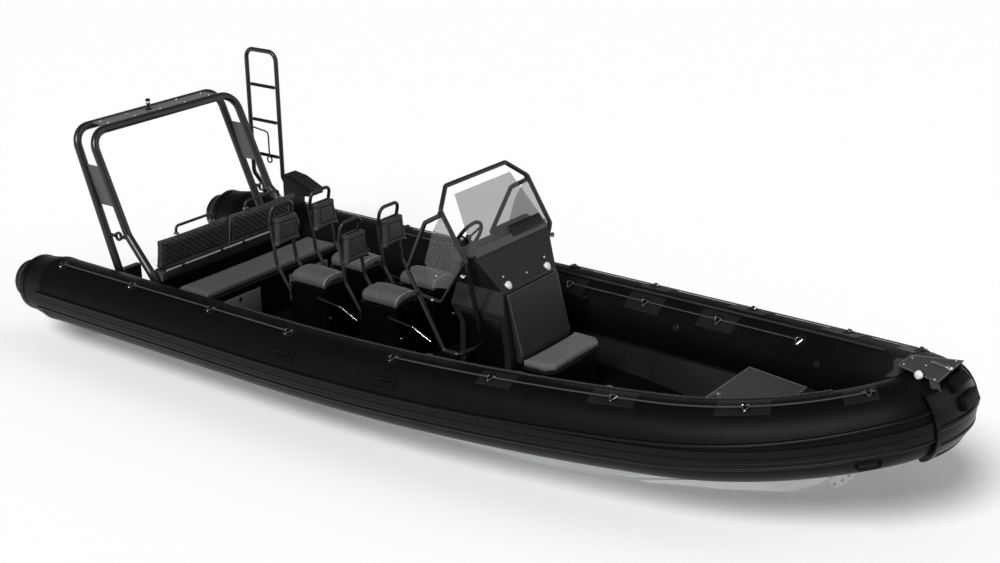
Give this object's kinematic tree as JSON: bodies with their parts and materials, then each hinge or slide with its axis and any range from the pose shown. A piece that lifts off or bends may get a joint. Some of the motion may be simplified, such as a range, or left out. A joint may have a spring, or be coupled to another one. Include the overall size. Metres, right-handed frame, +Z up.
{
  "type": "rigid inflatable boat",
  "caption": "Open rigid inflatable boat: aluminium V hull, black air tubes, stern arch, boarding ladder, bench, straddle seats, steering console with screen and bow locker.",
  "frame": {"origin": "on the centreline at the waterline, at half the boat's length", "axes": "+X to the bow, +Y to port, +Z up"},
  "size_m": [8.5742, 3.004, 2.67],
  "materials": {
    "hull_aluminium": "bare brushed plate",
    "tube_fabric": "satin coated fabric",
    "strake_rubber": "semi-gloss moulded rubber",
    "deck_mat": "grooved foam mat",
    "black_coating": "black powder coat",
    "console_coating": "dark grey powder coat",
    "grey_coating": "grey non-skid coat",
    "upholstery": "grained vinyl",
    "tinted_glass": "tinted acrylic",
    "moulded_black": "fine grained moulding",
    "rope": "black braided line",
    "lamp_white": "clear lamp lens"
  },
  "bodies": {
    "boat": {"hull": "hull_aluminium", "deck": "deck_mat", "transom": "black_coating", "tube_port": "tube_fabric", "tube_starboard": "tube_fabric", "rub_strake_port": "strake_rubber", "rub_strake_starboard": "strake_rubber", "bow_fender": "strake_rubber", "bow_step": "black_coating", "navigation_light": "lamp_white", "towing_eye": "hull_aluminium", "bow_locker": "grey_coating", "arch_frame": "black_coating", "arch_top_plate": "grey_coating", "arch_side_plates": "black_coating", "arch_light": "moulded_black", "ladder_bracket": "black_coating", "ladder_stay": "black_coating", "tube_step": "moulded_black", "bench_base": "black_coating", "bench_bolster": "upholstery", "bench_backs": "upholstery", "bench_rails": "black_coating", "console_body": "console_coating", "windscreen": "tinted_glass", "screen_wings": "tinted_glass", "console_rail": "black_coating", "throttle": "moulded_black", "front_seat_base": "black_coating", "front_seat_back": "upholstery", "console_lamps": "lamp_white", "grab_lines_port": "rope", "grab_lines_starboard": "rope", "tube_fittings_port": "strake_rubber", "tube_fittings_starboard": "strake_rubber", "pod_aft_starboard": "black_coating", "saddle_aft_starboard": "upholstery", "pad_aft_starboard": "upholstery", "hoop_aft_starboard": "black_coating", "pod_aft_port": "black_coating", "saddle_aft_port": "upholstery", "pad_aft_port": "upholstery", "hoop_aft_port": "black_coating", "pod_forward_starboard": "black_coating", "saddle_forward_starboard": "upholstery", "pad_forward_starboard": "upholstery", "hoop_forward_starboard": "black_coating", "pod_forward_port": "black_coating", "saddle_forward_port": "upholstery", "pad_forward_port": "upholstery", "hoop_forward_port": "black_coating"},
    "ladder": {"boarding_ladder": "black_coating"},
    "helm_wheel": {"steering_wheel": "moulded_black"},
    "bench_lid": {"bench_cushion": "upholstery"},
    "front_seat_lid": {"front_seat_cushion": "upholstery"},
    "locker_lid": {"bow_locker_lid": "grey_coating"},
    "door_aft_starboard": {"pod_door_aft_starboard": "black_coating"},
    "door_aft_port": {"pod_door_aft_port": "black_coating"},
    "door_forward_starboard": {"pod_door_forward_starboard": "black_coating"},
    "door_forward_port": {"pod_door_forward_port": "black_coating"}
  },
  "joints": [
    {"name": "ladder_swing", "type": "hinge", "parent": "boat", "child": "ladder", "pos_m": [-3.49, 1.39, 0.824], "axis": [-1, 0, 0], "range_deg": [0, 180]},
    {"name": "helm_turn", "type": "hinge", "parent": "boat", "child": "helm_wheel", "pos_m": [0.02, -0.06, 1.43], "axis": [0.9063, 0, -0.4226], "range_deg": [-630, 630]},
    {"name": "bench_lid_hinge", "type": "hinge", "parent": "boat", "child": "bench_lid", "pos_m": [-2.628, 0, 0.6045], "axis": [0, -1, 0], "range_deg": [0, 70]},
    {"name": "front_seat_lid_hinge", "type": "hinge", "parent": "boat", "child": "front_seat_lid", "pos_m": [1.058, 0, 0.5745], "axis": [0, 1, 0], "range_deg": [0, 80]},
    {"name": "locker_lid_hinge", "type": "hinge", "parent": "boat", "child": "locker_lid", "pos_m": [2.85, 0, 0.635], "axis": [0, 1, 0], "range_deg": [0, 70]},
    {"name": "door_hinge_aft_starboard", "type": "hinge", "parent": "boat", "child": "door_aft_starboard", "pos_m": [-1.276, -0.115, 0.52], "axis": [0, 0, 1], "range_deg": [0, 95]},
    {"name": "door_hinge_aft_port", "type": "hinge", "parent": "boat", "child": "door_aft_port", "pos_m": [-1.276, 0.115, 0.52], "axis": [0, 0, -1], "range_deg": [0, 95]},
    {"name": "door_hinge_forward_starboard", "type": "hinge", "parent": "boat", "child": "door_forward_starboard", "pos_m": [-0.476, -0.115, 0.52], "axis": [0, 0, 1], "range_deg": [0, 95]},
    {"name": "door_hinge_forward_port", "type": "hinge", "parent": "boat", "child": "door_forward_port", "pos_m": [-0.476, 0.115, 0.52], "axis": [0, 0, -1], "range_deg": [0, 95]}
  ]
}
